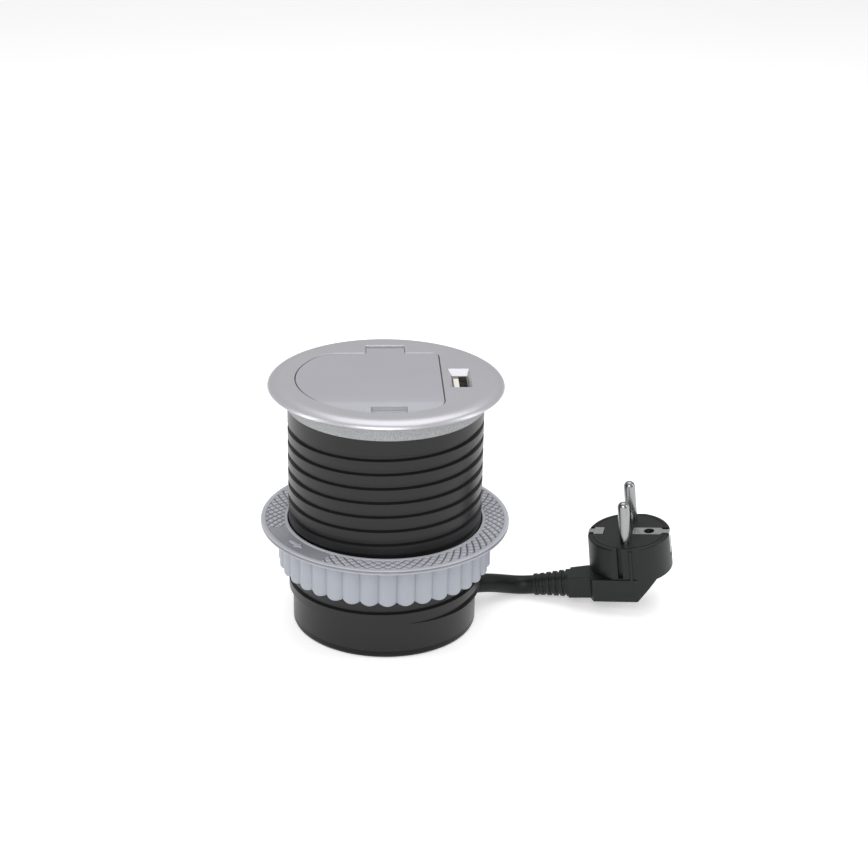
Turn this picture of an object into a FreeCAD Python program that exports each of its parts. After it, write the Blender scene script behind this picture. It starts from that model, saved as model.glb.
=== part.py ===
"""Power-socket desk grommet.

A round flange sits on the desk top, a threaded barrel goes down through the cable hole, and a
clamping flange on a ring nut grips the desk from below. Under a flip lid is an earthed socket,
with a USB charging port beside it. A cord leaves the base and ends in an angled earthed plug.

Frame: origin on the barrel's axis at the underside of the flange (the desk-top plane), +Z up,
+X (right) towards the USB port and the cord, +Y (back) towards the lid's hinge. Millimetres.
Azimuths are in degrees from +X. Cutting shapes overshoot the faces they open, often by 1 mm.
"""
import FreeCAD, Part
import math
import os
from FreeCAD import Vector

# ---------------------------------------------------------------- driving dimensions
FLANGE_R = 47.0          # bezel outside radius
FLANGE_T = 2.8           # bezel height above the desk
RIM_W = 5.0              # width of the rounded rim
RIM_FOOT = 0.3           # height where the rim's curve starts
PLATE_Z = -0.6           # underside of the bezel's plate inside the collar
COLLAR_R, COLLAR_RI = 39.6, 36.8
COLLAR_Z = -7.6          # lower edge of the collar
SHELF_RI, SHELF_Z = 33.6, -5.0
SPIGOT_R, SPIGOT_Z = 35.35, -13.6
LUG_AZ = (60, 180, 300)  # bezel lugs and their pockets in the barrel

# Outlines: disc radius, straight cuts at x and y, corner radii at the front of the x cut,
# between the cuts, and at the left of the y cut
LID_OUTLINE = (35.75, 21.8, 26.9, 9.0, 3.0, 10.0)
OPENING_OUTLINE = (33.7, 19.5, 24.9, 7.0, 1.5, 8.0)
HOLLOW_OUTLINE = (31.2, 17.0, 23.0, 6.0, 1.5, 6.0)
INSERT_FLANGE_OUTLINE = (35.3, 21.1, 27.3, 7.0, 1.5, 8.0)
LID_Y, OPENING_Y = LID_OUTLINE[2], OPENING_OUTLINE[2]
LID_GAP = 0.40           # round the lid in its pocket
INSERT_GAP = 0.3         # round the socket insert in the opening
LID_Z = 0.65             # underside of the lid
LEDGE_Z = 0.6            # floor of the lid's pocket
TAB_X0, TAB_X1 = -7.3, 8.25          # lid's hinge tab
SLOT_X0, SLOT_X1 = -7.5, 8.45        # bezel's hinge slot
SLOT_Y = 35.8
HINGE_Y, HINGE_Z = 32.2, -0.2
BARREL_R = 3.0           # lid hinge barrel
PIN_R = 1.0              # hinge pin
RUN = 0.05               # running clearance on a radius
NOTCH_X0, NOTCH_X1, NOTCH_Y = -6.7, 7.4, -28.4   # finger notch at the lid's front

USB_X, USB_Y = 29.4, -1.15
USB_W, USB_L = 6.0, 13.5     # port shell, thickness and length
PCB_X0, PCB_X1 = 24.7, 26.3

TUBE_R = 39.15           # thread crest
TUBE_RI = 35.5
TUBE_TRIM_R = TUBE_RI + 0.4  # inner features reach this far into the tube's wall
THREAD_ROOT = 37.9
PITCH = 6.0
THREAD_REF_AZ, THREAD_REF_Z = 270.0, -15.0   # the groove passes through this azimuth and height
BASE_R = 37.5
BASE_STEP_Z = -87.5
TUBE_Z = -99.6
COVER_Z = -102.6
COVER_SCREW_R, COVER_SCREW_AZ = 30.8, (100, 220, 330)
COVER_HEAD_Z = -100.7    # seat of the cover screws' heads

CLAMP_BORE = 39.6        # bore of the washer and the ring nut

CUP_X, CUP_Y = -7.5, -2.0     # socket axis
CUP_RI, CUP_RO = 19.75, 21.25
CUP_FLOOR, CUP_BOT = -17.1, -19.6
PIN_PITCH = 19.0              # between the two live pins
HALF_PITCH = PIN_PITCH / 2
LINE_X, NEUTRAL_X = CUP_X + HALF_PITCH, CUP_X - HALF_PITCH
CARRIER_R = 19.0
CARRIER_Z0, CARRIER_Z1 = -40.0, -22.2
CARRIER_HEAD_Z = -38.2        # seat of the carrier screws' heads
CONTACT_Z0, STRAP_Z0 = -44.0, -45.0   # lower ends of the contacts' and the strap's tabs

CORD_R = 3.95
CORD_AZ = 15.0                # where the cord leaves the base
CORD_Z = -94.0
CORD_DIR = Vector(math.cos(math.radians(CORD_AZ)), math.sin(math.radians(CORD_AZ)), 0)
CLAMP_OUT, CLAMP_SIDE = 28.5, 6.6     # cord clamp screws: distance out, offset to each side

ORIGIN = Vector(0, 0, 0)
ALONG_X, ALONG_Y, UP = Vector(1, 0, 0), Vector(0, 1, 0), Vector(0, 0, 1)


# ---------------------------------------------------------------- helpers
def rod(radius, z0, z1, x=0.0, y=0.0):
    """Upright cylinder between two heights."""
    return Part.makeCylinder(radius, z1 - z0, Vector(x, y, z0))


def rod_x(radius, x0, x1, y, z):
    return Part.makeCylinder(radius, x1 - x0, Vector(x0, y, z), ALONG_X)


def cone(low_r, top_r, z0, height, x=0.0, y=0.0):
    return Part.makeCone(low_r, top_r, height, Vector(x, y, z0))


def ring(outer_r, inner_r, z0, z1, x=0.0, y=0.0):
    return rod(outer_r, z0, z1, x, y).cut(rod(inner_r, z0 - 1, z1 + 1, x, y))


def box(x0, x1, y0, y1, z0, z1):
    return Part.makeBox(x1 - x0, y1 - y0, z1 - z0, Vector(x0, y0, z0))


def turned(shape, azimuth, centre=ORIGIN):
    shape = shape.copy()
    shape.rotate(centre, UP, azimuth)
    return shape


def polar(radius, azimuth, x=0.0, y=0.0):
    angle = math.radians(azimuth)
    return x + radius * math.cos(angle), y + radius * math.sin(angle)


def closed_wire(points):
    return Part.makePolygon(points + points[:1])


def prism(points, z0, z1):
    """Polygon in (x, y), extruded along Z."""
    wire = closed_wire([Vector(x, y, z0) for x, y in points])
    return Part.Face(wire).extrude(UP * (z1 - z0))


def prism_x(points, x0, x1):
    """Polygon in (y, z), extruded along X."""
    wire = closed_wire([Vector(x0, y, z) for y, z in points])
    return Part.Face(wire).extrude(ALONG_X * (x1 - x0))


def prism_y(points, y0, y1):
    """Polygon in (x, z), extruded along Y."""
    wire = closed_wire([Vector(x, y0, z) for x, z in points])
    return Part.Face(wire).extrude(ALONG_Y * (y1 - y0))


def revolve(points):
    """Polygon in (radius, z), revolved round Z."""
    wire = closed_wire([Vector(r, 0, z) for r, z in points])
    return Part.Face(wire).revolve(ORIGIN, UP, 360)


def lines_through(points):
    return [Part.makeLine(start, end) for start, end in zip(points, points[1:])]


def face_within(edges):
    return Part.Face(Part.Wire(Part.__sortEdges__(edges)))


def d_shape(outline, z0, z1, grow=0.0):
    """Disc cut straight at the right and the back, with rounded corners, offset by grow."""
    radius, x_cut, y_cut, front_r, back_r, left_r = [size + grow for size in outline]
    shape = rod(radius, z0, z1).common(
        box(-radius - 1, x_cut, -radius - 1, y_cut, z0 - 1, z1 + 1))
    for x, y, corner_r in ((x_cut, -math.sqrt(radius * radius - x_cut * x_cut), front_r),
                           (x_cut, y_cut, back_r),
                           (-math.sqrt(radius * radius - y_cut * y_cut), y_cut, left_r)):
        shape = shape.makeFillet(corner_r, vertical_edges_near(shape, x, y))
    return shape


def vertical_edges_near(shape, x, y):
    found = []
    for edge in shape.Edges:
        if len(edge.Vertexes) != 2:
            continue
        start, end = edge.Vertexes[0].Point, edge.Vertexes[1].Point
        upright = abs(start.x - end.x) + abs(start.y - end.y) <= 1e-4
        if upright and math.hypot(start.x - x, start.y - y) < 0.6:
            found.append(edge)
    return found


def sector(inner_r, outer_r, azimuth, half_angle, z0, z1):
    """Part of a ring, centred on an azimuth."""
    shape = Part.makeCylinder(outer_r, z1 - z0, Vector(0, 0, z0), UP, 2 * half_angle)
    return turned(shape.cut(rod(inner_r, z0 - 1, z1 + 1)), azimuth - half_angle)


def sweep(path, profile, helical=False):
    """Solid swept by a closed wire along a path."""
    shell = Part.BRepOffsetAPI.MakePipeShell(Part.Wire(path.Edges))
    if helical:
        shell.setBiNormalMode(UP)
    else:
        shell.setFrenetMode(False)
    shell.add(profile)
    shell.build()
    shell.makeSolid()
    shape = shell.shape()
    if shape.Volume < 0:
        shape.reverse()
    return shape


def circle_wire(radius, centre, normal):
    return Part.Wire(Part.makeCircle(radius, centre, normal))


def thread_bar(z0, z1, profile):
    """Helical bar in step with the barrel's groove. profile is a list of (radius, height)."""
    helix = Part.makeHelix(PITCH, z1 - z0, 39.0)
    bar = sweep(helix, closed_wire([Vector(r, 0, z) for r, z in profile]), helical=True)
    bar = turned(bar, (THREAD_REF_AZ + (z0 - THREAD_REF_Z) / PITCH * 360.0) % 360.0)
    bar.translate(Vector(0, 0, z0))
    return bar


def pipe(points, radius, start_tangent, end_tangent):
    """Round bar along a smooth curve through the points."""
    curve = Part.BSplineCurve()
    curve.interpolate(Points=[Vector(*point) for point in points],
                      InitialTangent=start_tangent, FinalTangent=end_tangent)
    first = curve.FirstParameter
    return sweep(curve.toShape(),
                 circle_wire(radius, curve.value(first), curve.tangent(first)[0]))


def fillet(shape, radius, wanted):
    edges = [edge for edge in shape.Edges if wanted(edge)]
    if not edges:
        return shape
    # Guards against a kernel failure on small edges: the shape then keeps its sharp edges
    try:
        rounded = shape.makeFillet(radius, edges)
        if rounded.isValid() and rounded.Volume > 0:
            return rounded
    except Exception:
        pass
    return shape


def at_height(edge, z):
    return all(abs(vertex.Z - z) < 1e-4 for vertex in edge.Vertexes)


def is_circle(edge, radius):
    return isinstance(edge.Curve, Part.Circle) and abs(edge.Curve.Radius - radius) < 0.01


def span(edge, axis):
    """Distance between an edge's ends along "X", "Y" or "Z"."""
    return abs(getattr(edge.Vertexes[0], axis) - getattr(edge.Vertexes[-1], axis))


def only_solid(shape):
    return shape.Solids[0] if len(shape.Solids) == 1 else shape


def merged(shape):
    """The one solid of a shape, with seams between split faces removed."""
    return only_solid(shape.removeSplitter())


def cut_cross(shape, half_length, half_width, z0, z1):
    """Cross recess for a screwdriver."""
    for azimuth in (0, 90):
        bar = box(-half_length, half_length, -half_width, half_width, z0, z1)
        shape = shape.cut(turned(bar, azimuth))
    return shape


def screw(radius, length, head_r, head_h):
    """Screw pointing up, its head below z = 0 and its shank above."""
    tip = 0.6
    shape = rod(radius, 0, length - tip)
    shape = shape.fuse(cone(radius, radius * 0.35, length - tip, tip))
    shape = shape.fuse(rod(head_r, -head_h, 0))
    return merged(cut_cross(shape, head_r * 0.62, head_r * 0.14, -head_h - 1, -head_h * 0.45))


def screws_at(places, z, **sizes):
    screws = []
    for x, y in places:
        one = screw(**sizes)
        one.translate(Vector(x, y, z))
        screws.append(one)
    return Part.makeCompound(screws)


# ---------------------------------------------------------------- bezel
EAR_W = 2.6
EAR_SPANS = ((SLOT_X0 - EAR_W, SLOT_X0), (SLOT_X1, SLOT_X1 + EAR_W))
EAR_TOP = PLATE_Z + 0.4
BAR_Y, BAR_Z0 = 28.6, -5.4           # front and underside of the bar between the ears
USB_HALF_X, USB_HALF_Y = USB_W / 2 + 0.25, 7.3          # straight USB opening
USB_FUNNEL = (24.6, 33.6, -10.1, 9.6)                   # x0, x1, y0, y1 at the top
USB_FUNNEL_DEPTH = 1.8


def bezel_blank():
    """Flange, collar and spigot, revolved."""
    crest_r = FLANGE_R - RIM_W
    foot_angle = math.asin(RIM_FOOT / FLANGE_T)
    foot_r = crest_r + RIM_W * math.cos(foot_angle)
    ellipse = Part.Ellipse(Vector(FLANGE_R, 0, 0), Vector(crest_r, 0, FLANGE_T),
                           Vector(crest_r, 0, 0))
    rim = Part.ArcOfEllipse(ellipse, foot_angle, math.pi / 2).toShape()
    profile = [  # radius, z
        (crest_r, FLANGE_T), (0, FLANGE_T), (0, PLATE_Z), (COLLAR_RI, PLATE_Z),
        (COLLAR_RI, SHELF_Z), (SHELF_RI, SHELF_Z), (SHELF_RI, SPIGOT_Z), (SPIGOT_R, SPIGOT_Z),
        (SPIGOT_R, COLLAR_Z), (COLLAR_R - 0.25, COLLAR_Z), (COLLAR_R, COLLAR_Z + 0.25),
        (COLLAR_R, 0), (foot_r - 0.3, 0), (foot_r, RIM_FOOT)]
    edges = [rim] + lines_through([Vector(r, 0, z) for r, z in profile])
    return face_within(edges).revolve(ORIGIN, UP, 360).Solids[0]


def rectangle(x0, x1, y0, y1, z):
    return closed_wire([Vector(x0, y0, z), Vector(x1, y0, z), Vector(x1, y1, z),
                        Vector(x0, y1, z)])


def make_bezel():
    bezel = bezel_blank()
    # lugs on the spigot that snap into the barrel
    for azimuth in LUG_AZ:
        bezel = bezel.fuse(sector(34.6, 35.9, azimuth, 6, -12.6, -11.2))
    # hinge ears under the plate
    for x0, x1 in EAR_SPANS:
        bezel = bezel.fuse(box(x0, x1, 29.2, 35.2, -3.6, EAR_TOP))
    # bar between the ears, in front of the lid spring's foot, and its end posts
    bezel = bezel.fuse(box(SLOT_X0 - EAR_W, SLOT_X1 + EAR_W, BAR_Y, 29.8, BAR_Z0, -3.5))
    for x0, x1 in EAR_SPANS:
        bezel = bezel.fuse(box(x0, x1, BAR_Y, 31.0, BAR_Z0, EAR_TOP))
    # lid pocket, socket opening with a pad left under the lid's notch, hinge slot
    bezel = bezel.cut(d_shape(LID_OUTLINE, LEDGE_Z, FLANGE_T + 1, grow=LID_GAP))
    opening = d_shape(OPENING_OUTLINE, PLATE_Z - 1, FLANGE_T + 1)
    pad = box(NOTCH_X0 - 1.5, NOTCH_X1 + 1.5, -36.0, NOTCH_Y + 1.9, PLATE_Z - 2, LEDGE_Z + 1)
    bezel = bezel.cut(opening.cut(pad))
    bezel = bezel.cut(box(SLOT_X0, SLOT_X1, OPENING_Y - 1.0, SLOT_Y, PLATE_Z - 0.5, FLANGE_T + 1))
    # dished finger rest under the lid's notch
    dish = [(-36.0, LEDGE_Z + 0.01), (-34.6, 0.15), (-29.4, 0.0), (-29.4, LEDGE_Z + 1),
            (-36.0, LEDGE_Z + 1)]
    bezel = bezel.cut(prism_x(dish, NOTCH_X0 + 0.15, NOTCH_X1 - 0.15))
    # hinge pin holes, with a snap-in throat from below
    bezel = bezel.cut(rod_x(PIN_R + RUN, SLOT_X0 - EAR_W, SLOT_X1 + EAR_W, HINGE_Y, HINGE_Z))
    for x0, x1 in EAR_SPANS:
        bezel = bezel.cut(box(x0, x1, HINGE_Y - 0.85, HINGE_Y + 0.85, -4.0, HINGE_Z))
    # USB recess: bevelled funnel with rounded corners, then a straight opening
    port = (USB_X - USB_HALF_X, USB_X + USB_HALF_X, USB_Y - USB_HALF_Y, USB_Y + USB_HALF_Y)
    funnel_z = FLANGE_T - USB_FUNNEL_DEPTH
    funnel = Part.makeLoft([rectangle(*port, funnel_z), rectangle(*USB_FUNNEL, FLANGE_T)],
                           True, True)
    bezel = bezel.cut(fillet(funnel, 1.0, lambda edge: span(edge, "Z") > 1.0))
    bezel = bezel.cut(box(*port, PLATE_Z - 1, funnel_z + 0.01))
    # soft edges round the pocket and the port, but not where the rim meets the flat top
    return merged(fillet(merged(bezel), 0.22, lambda edge: at_height(edge, FLANGE_T)
                         and not is_circle(edge, FLANGE_R - RIM_W)))


# ---------------------------------------------------------------- lid and hinge
WIDE = 60.0              # reaches past the lid on every side
CHAMFER_Y = 12.0         # the lid's lower edge is chamfered behind this line
ROLL_Y = -17.5           # the top starts to roll down here
BEVEL_Y = -25.0          # crease of the front slope
BEVEL_DROP = 0.28        # height lost at the crease
SPRING_R, SPRING_WIRE_R = 1.5, 0.26


def is_top_edge(shape, edge):
    """True for an edge between a face that looks up and an upright face."""
    # Guards the look-up of the faces that meet at the edge
    try:
        faces = shape.ancestorsOfType(edge, Part.Face)
    except Exception:
        return False
    if len(faces) != 2 or min(vertex.Z for vertex in edge.Vertexes) < LID_Z + 0.3:
        return False
    middle = edge.valueAt((edge.FirstParameter + edge.LastParameter) / 2)
    tilts = [abs(face.normalAt(*face.Surface.parameter(middle)).z) for face in faces]
    return max(tilts) > 0.9 and min(tilts) < 0.1


def lid_front_waste():
    """What is cut off the lid's top: a soft roll, then a slope from the crease to the edge."""
    crease_z = FLANGE_T - BEVEL_DROP
    roll = Part.Arc(Vector(-WIDE, ROLL_Y, FLANGE_T), Vector(-WIDE, -21.4, FLANGE_T - 0.075),
                    Vector(-WIDE, BEVEL_Y, crease_z)).toShape()
    outline = [(BEVEL_Y, crease_z), (-36.6, 1.15), (-38.0, 1.15), (-38.0, 6.0), (ROLL_Y, 6.0),
               (ROLL_Y, FLANGE_T)]
    edges = [roll] + lines_through([Vector(-WIDE, y, z) for y, z in outline])
    return face_within(edges).extrude(ALONG_X * (2 * WIDE))


def make_lid():
    lid = d_shape(LID_OUTLINE, LID_Z, FLANGE_T)
    # the lower edge is chamfered towards the hinge, so that it swings clear of the pocket
    back = lid.common(box(-WIDE, WIDE, CHAMFER_Y, WIDE, -5, 5))
    edges = [edge for edge in back.Edges if at_height(edge, LID_Z)
             and not all(abs(vertex.Y - CHAMFER_Y) < 1e-4 for vertex in edge.Vertexes)]
    back = back.makeChamfer(1.6, edges)
    lid = lid.common(box(-WIDE, WIDE, -WIDE, CHAMFER_Y, -5, 5)).fuse(back)
    blank = merged(lid.cut(lid_front_waste()))
    lid = fillet(blank, 0.25, lambda edge: is_top_edge(blank, edge))
    # the back edge clears the pocket wall as the lid turns
    lid = lid.cut(rod_x(4.87, -WIDE, WIDE, HINGE_Y, HINGE_Z).cut(
        box(TAB_X0, TAB_X1, 20, 40, -10, 10)))
    # hinge tab and barrel
    lid = lid.fuse(box(TAB_X0, TAB_X1, LID_Y - 2.0, HINGE_Y, LID_Z, FLANGE_T))
    lid = lid.fuse(rod_x(BARREL_R, TAB_X0, TAB_X1, HINGE_Y, HINGE_Z))
    lid = lid.cut(rod_x(PIN_R + RUN, TAB_X0 - 1, TAB_X1 + 1, HINGE_Y, HINGE_Z))
    # room for the spring in the middle of the barrel, and a hole for its leg
    lid = lid.cut(rod_x(2.05, -3.2, 3.2, HINGE_Y, HINGE_Z))
    lid = lid.cut(box(-3.2, 3.2, 28.0, 36.0, -4.0, HINGE_Z))
    lid = lid.cut(rod_x(0.36, 3.0, 5.4, HINGE_Y + SPRING_R, HINGE_Z))
    # finger notch
    lid = lid.cut(box(NOTCH_X0, NOTCH_X1, -40, NOTCH_Y, 0, 5))
    # hollow underside with a solid front and two crossed ribs
    hollow = d_shape(HOLLOW_OUTLINE, LID_Z - 1, LID_Z + 0.75)
    for x0, x1, y0, y1 in ((-WIDE, WIDE, -WIDE, -27.5), (-WIDE, WIDE, -1.0, 0.2),
                           (-8.2, -6.8, -WIDE, WIDE)):
        hollow = hollow.cut(box(x0, x1, y0, y1, -5, 5))
    return merged(lid.cut(hollow))


def make_hinge_pin():
    reach = EAR_W - 0.1
    return rod_x(PIN_R, SLOT_X0 - reach, SLOT_X1 + reach, HINGE_Y, HINGE_Z)


def make_lid_spring():
    """Torsion spring round the hinge pin: one leg in the lid's barrel, one behind the bar."""
    pitch, turns = 0.75, 6.5
    top = pitch * turns
    coil = sweep(Part.makeHelix(pitch, top, SPRING_R),
                 circle_wire(SPRING_WIRE_R, Vector(SPRING_R, 0, 0), ALONG_Y), helical=True)
    # the helix starts at +X and, after a last half turn, ends at -X of its own frame
    joint_r, leg_r = SPRING_WIRE_R + 0.05, SPRING_WIRE_R - 0.01
    for end, length, direction in ((Vector(-SPRING_R, 0, top), 2.0, UP),
                                   (Vector(SPRING_R, 0, 0), 4.3, ALONG_Y * -1)):
        coil = coil.fuse(Part.makeSphere(joint_r, end))
        coil = coil.fuse(Part.makeCylinder(leg_r, length, end, direction))
    # lay it along X: own +Z -> +X, own -X -> +Y (the lid's leg), own -Y -> -Z (the foot)
    placed = FreeCAD.Matrix(0, 0, 1, -2.45,
                            -1, 0, 0, HINGE_Y,
                            0, 1, 0, HINGE_Z,
                            0, 0, 0, 1)
    return merged(coil).transformed(placed)


# ---------------------------------------------------------------- socket under the lid
CARRIER_SCREWS = [polar(15.9, azimuth, CUP_X, CUP_Y) for azimuth in (45, 225)]
CARRIER_SCREW_HOLE_R = 1.3
PEG_R, PEG_AZ = 12.8, 82         # shutter spring's peg, from the socket axis
POST_R = 2.0                     # shutter's post
SHUTTER_Z0, SHUTTER_Z1 = -21.9, -19.75
PIN_HOLE_R = 2.65
STRAP_HALF_X, STRAP_SLOT_HALF_X = 3.0, 3.3


def make_socket_insert():
    plate_z, top_z = -2.4, 0.4
    plate = d_shape(OPENING_OUTLINE, plate_z, top_z, grow=-INSERT_GAP)
    plate = plate.cut(box(NOTCH_X0 - 1.8, NOTCH_X1 + 1.8, -36.0, NOTCH_Y + 2.2, -0.7, 2))
    insert = plate.fuse(d_shape(INSERT_FLANGE_OUTLINE, plate_z, PLATE_Z - 0.1))
    insert = insert.fuse(rod(CUP_RO, CUP_BOT, top_z, CUP_X, CUP_Y))
    # snap legs that catch under the bezel's spigot
    for azimuth in (145, 215, 285):
        insert = insert.fuse(sector(31.8, 33.35, azimuth, 7, -16.0, -2.0))
        insert = insert.fuse(sector(31.8, 34.7, azimuth, 7, -15.2, -13.8))
    # screw bosses, then the cup, then the shutter's post and its spring's peg
    for x, y in CARRIER_SCREWS:
        insert = insert.fuse(rod(2.8, CARRIER_Z1, CUP_BOT + 0.5, x, y))
    insert = insert.cut(rod(CUP_RI, CUP_FLOOR, 2, CUP_X, CUP_Y))
    insert = insert.fuse(rod(POST_R, -22.1, CUP_BOT + 0.5, CUP_X, CUP_Y))
    insert = insert.fuse(rod(0.8, -22.1, CUP_BOT + 0.5, *polar(PEG_R, PEG_AZ, CUP_X, CUP_Y)))
    # guide ribs on the wall at right and left
    for side in (1, -1):
        wall_x = CUP_X + side * CUP_RI
        x0, x1 = sorted((wall_x - side * 0.9, wall_x + side * 0.6))
        insert = insert.fuse(box(x0, x1, CUP_Y - 2.2, CUP_Y + 2.2, CUP_FLOOR - 0.5, -1.5))
    # lead-in chamfer at the mouth
    insert = insert.cut(cone(CUP_RI, CUP_RI + 0.7, -0.3, 0.7, CUP_X, CUP_Y))
    # pin holes with lead-in
    for x in (NEUTRAL_X, LINE_X):
        insert = insert.cut(rod(PIN_HOLE_R, -20, -17, x, CUP_Y))
        insert = insert.cut(cone(PIN_HOLE_R, 3.6, CUP_FLOOR - 0.9 + 0.001, 0.9, x, CUP_Y))
    # slots for the earth strap
    for side in (-1, 1):
        y = CUP_Y + side * 17.9
        insert = insert.cut(box(CUP_X - STRAP_SLOT_HALF_X, CUP_X + STRAP_SLOT_HALF_X,
                                y - 0.75, y + 0.75, -20, -17))
    for x, y in CARRIER_SCREWS:
        insert = insert.cut(rod(CARRIER_SCREW_HOLE_R, CARRIER_Z1 - 1, -18.3, x, y))
    return merged(insert)


def make_shutter():
    """Hub with two wings; each wing has a ramp that a plug pin pushes."""
    shutter = rod(4.4, SHUTTER_Z0, SHUTTER_Z1)
    for side in (-1, 1):
        shutter = shutter.fuse(rod(3.1, SHUTTER_Z0, SHUTTER_Z1, side * HALF_PITCH, 0))
    shutter = shutter.fuse(box(-HALF_PITCH, HALF_PITCH, -2.0, 2.0, SHUTTER_Z0, SHUTTER_Z1))
    for side in (-1, 1):
        ramp = [(-side * 0.2, -19.7), (side * 3.4, -21.3), (side * 3.4, -19.7)]
        shutter = shutter.cut(prism_x(ramp, *sorted((side * 7.3, side * 11.9))))
    shutter = shutter.cut(rod(POST_R + RUN, -23, -19))
    shutter.translate(Vector(CUP_X, CUP_Y, 0))
    return merged(shutter)


def make_shutter_spring():
    """Flat leaf: an eye round the peg and a bowed arm against the wing."""
    z0, z1 = -21.5, -20.3
    half_t = 0.17
    peg = polar(PEG_R, PEG_AZ)
    spring = rod(1.25, z0, z1, *peg)
    arm = [peg, polar(12.2, 62), polar(11.2, 42), polar(9.65, 20.3)]
    for (ax, ay), (bx, by) in zip(arm, arm[1:]):
        length = math.hypot(bx - ax, by - ay)
        dx, dy = -(by - ay) / length * half_t, (bx - ax) / length * half_t
        spring = spring.fuse(prism([(ax + dx, ay + dy), (bx + dx, by + dy), (bx - dx, by - dy),
                                    (ax - dx, ay - dy)], z0, z1))
        spring = spring.fuse(rod(half_t, z0, z1, bx, by))
    spring = spring.cut(rod(0.85, z0 - 1, z1 + 1, *peg))
    spring.translate(Vector(CUP_X, CUP_Y, 0))
    return merged(spring)


def make_contact_carrier():
    carrier = rod(CARRIER_R, CARRIER_Z0, CARRIER_Z1, CUP_X, CUP_Y)
    # wells for the contacts, with slots for their tabs
    for x in (NEUTRAL_X, LINE_X):
        carrier = carrier.cut(rod(3.25, -36.6, CARRIER_Z1 + 1, x, CUP_Y))
        carrier = carrier.cut(box(x - 1.7, x + 1.7, CUP_Y - 0.55, CUP_Y + 0.55, -41, -36))
    for x, y in CARRIER_SCREWS:
        carrier = carrier.cut(rod(CARRIER_SCREW_HOLE_R, -41, -22, x, y))
        carrier = carrier.cut(rod(2.6, -41, CARRIER_HEAD_Z, x, y))
    # slots for the earth strap
    for side in (-1, 1):
        y = CUP_Y + side * 18.4
        carrier = carrier.cut(box(CUP_X - STRAP_SLOT_HALF_X, CUP_X + STRAP_SLOT_HALF_X,
                                  y - 1.25, y + 1.25, -41, -22))
    # pockets that lighten the block: small at the sides, large at back and front
    for side in (1, -1):
        carrier = carrier.cut(rod(1.9, -36.0, CARRIER_Z1 + 1, CUP_X + side * 16.4, CUP_Y))
    for side in (1, -1):
        carrier = carrier.cut(rod(4.2, -36.0, CARRIER_Z1 + 1.1, CUP_X, CUP_Y + side * 9.0))
    # recess under the shutter's post
    carrier = carrier.cut(rod(3.2, CARRIER_Z1 - 1.2, CARRIER_Z1 + 1, CUP_X, CUP_Y))
    return merged(carrier)


def make_carrier_screws():
    return screws_at(CARRIER_SCREWS, CARRIER_HEAD_Z, radius=1.25, length=19.0, head_r=2.45,
                     head_h=1.7)


def make_contact(x):
    """Tube for a live pin, slit into four springy fingers, with a tab below."""
    bottom, outer_r = -36.5, 3.1
    contact = ring(outer_r, 2.45, bottom, -24.5, x, CUP_Y)
    contact = contact.fuse(rod(outer_r, bottom, -35.4, x, CUP_Y))
    for azimuth in (0, 90):
        slit = box(x - 4, x + 4, CUP_Y - 0.3, CUP_Y + 0.3, -34.0, -24)
        contact = contact.cut(turned(slit, azimuth, Vector(x, CUP_Y, 0)))
    tab = box(x - 1.6, x + 1.6, CUP_Y - 0.4, CUP_Y + 0.4, CONTACT_Z0, -36.0)
    return merged(contact.fuse(tab))


def make_line_contact():
    return make_contact(LINE_X)


def make_neutral_contact():
    return make_contact(NEUTRAL_X)


def make_earth_strap():
    """U-shaped strap: two side clips that bulge into the cup, joined under the carrier."""
    outer_y, inner_y = 18.4, 17.6
    profile = [  # distance from the socket axis along Y, z
        (0, -41.2), (outer_y, -41.2), (outer_y, -12.0), (17.0, -8.6), (17.0, -7.4),
        (outer_y, -4.0), (inner_y, -4.0), (16.2, -7.1), (16.2, -8.9), (inner_y, -12.4),
        (inner_y, -40.4), (0, -40.4)]
    front, back = [prism_x([(side * y, z) for y, z in profile], -STRAP_HALF_X, STRAP_HALF_X)
                   for side in (-1, 1)]
    strap = front.fuse(back)
    strap = strap.fuse(box(-2.0, 2.0, -0.4, 0.4, STRAP_Z0, -41.0))
    strap.translate(Vector(CUP_X, CUP_Y, 0))
    return merged(strap)


# ---------------------------------------------------------------- charger
PCB_HALF_Y, PCB_Z0 = 21.8, -66.0
USB_WALL = 0.3
USB_INNER_X = USB_X - USB_W / 2 + USB_WALL
USB_CONTACTS = (-3.5, -1.0, 1.0, 3.5)     # offsets along Y from the port's middle
CAPACITOR_X = PCB_X0 - 4.05


def make_usb_board():
    board = box(PCB_X0, PCB_X1, -PCB_HALF_Y, PCB_HALF_Y, PCB_Z0, -16.0)
    board = board.fuse(box(PCB_X0, PCB_X1, -15.0, 15.0, -16.5, -3.0))
    for y in (15.5, -15.5):
        board = board.cut(rod_x(1.6, PCB_X0 - 1, PCB_X0 + 3, y, -61.0))
    return merged(board)


def make_usb_shell():
    x0, x1 = USB_X - USB_W / 2, USB_X + USB_W / 2
    y0, y1 = USB_Y - USB_L / 2, USB_Y + USB_L / 2
    shell = box(x0, x1, y0, y1, -14.0, 1.0)
    shell = shell.cut(box(x0 + USB_WALL, x1 - USB_WALL, y0 + USB_WALL, y1 - USB_WALL, -13.7, 2.0))
    # two windows in the outer (+X) face
    for y in (USB_Y - 3.4, USB_Y + 3.4):
        shell = shell.cut(box(x1 - USB_WALL - 0.1, x1 + 0.1, y - 1.1, y + 1.1, -8.6, -3.6))
    return merged(shell)


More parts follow.
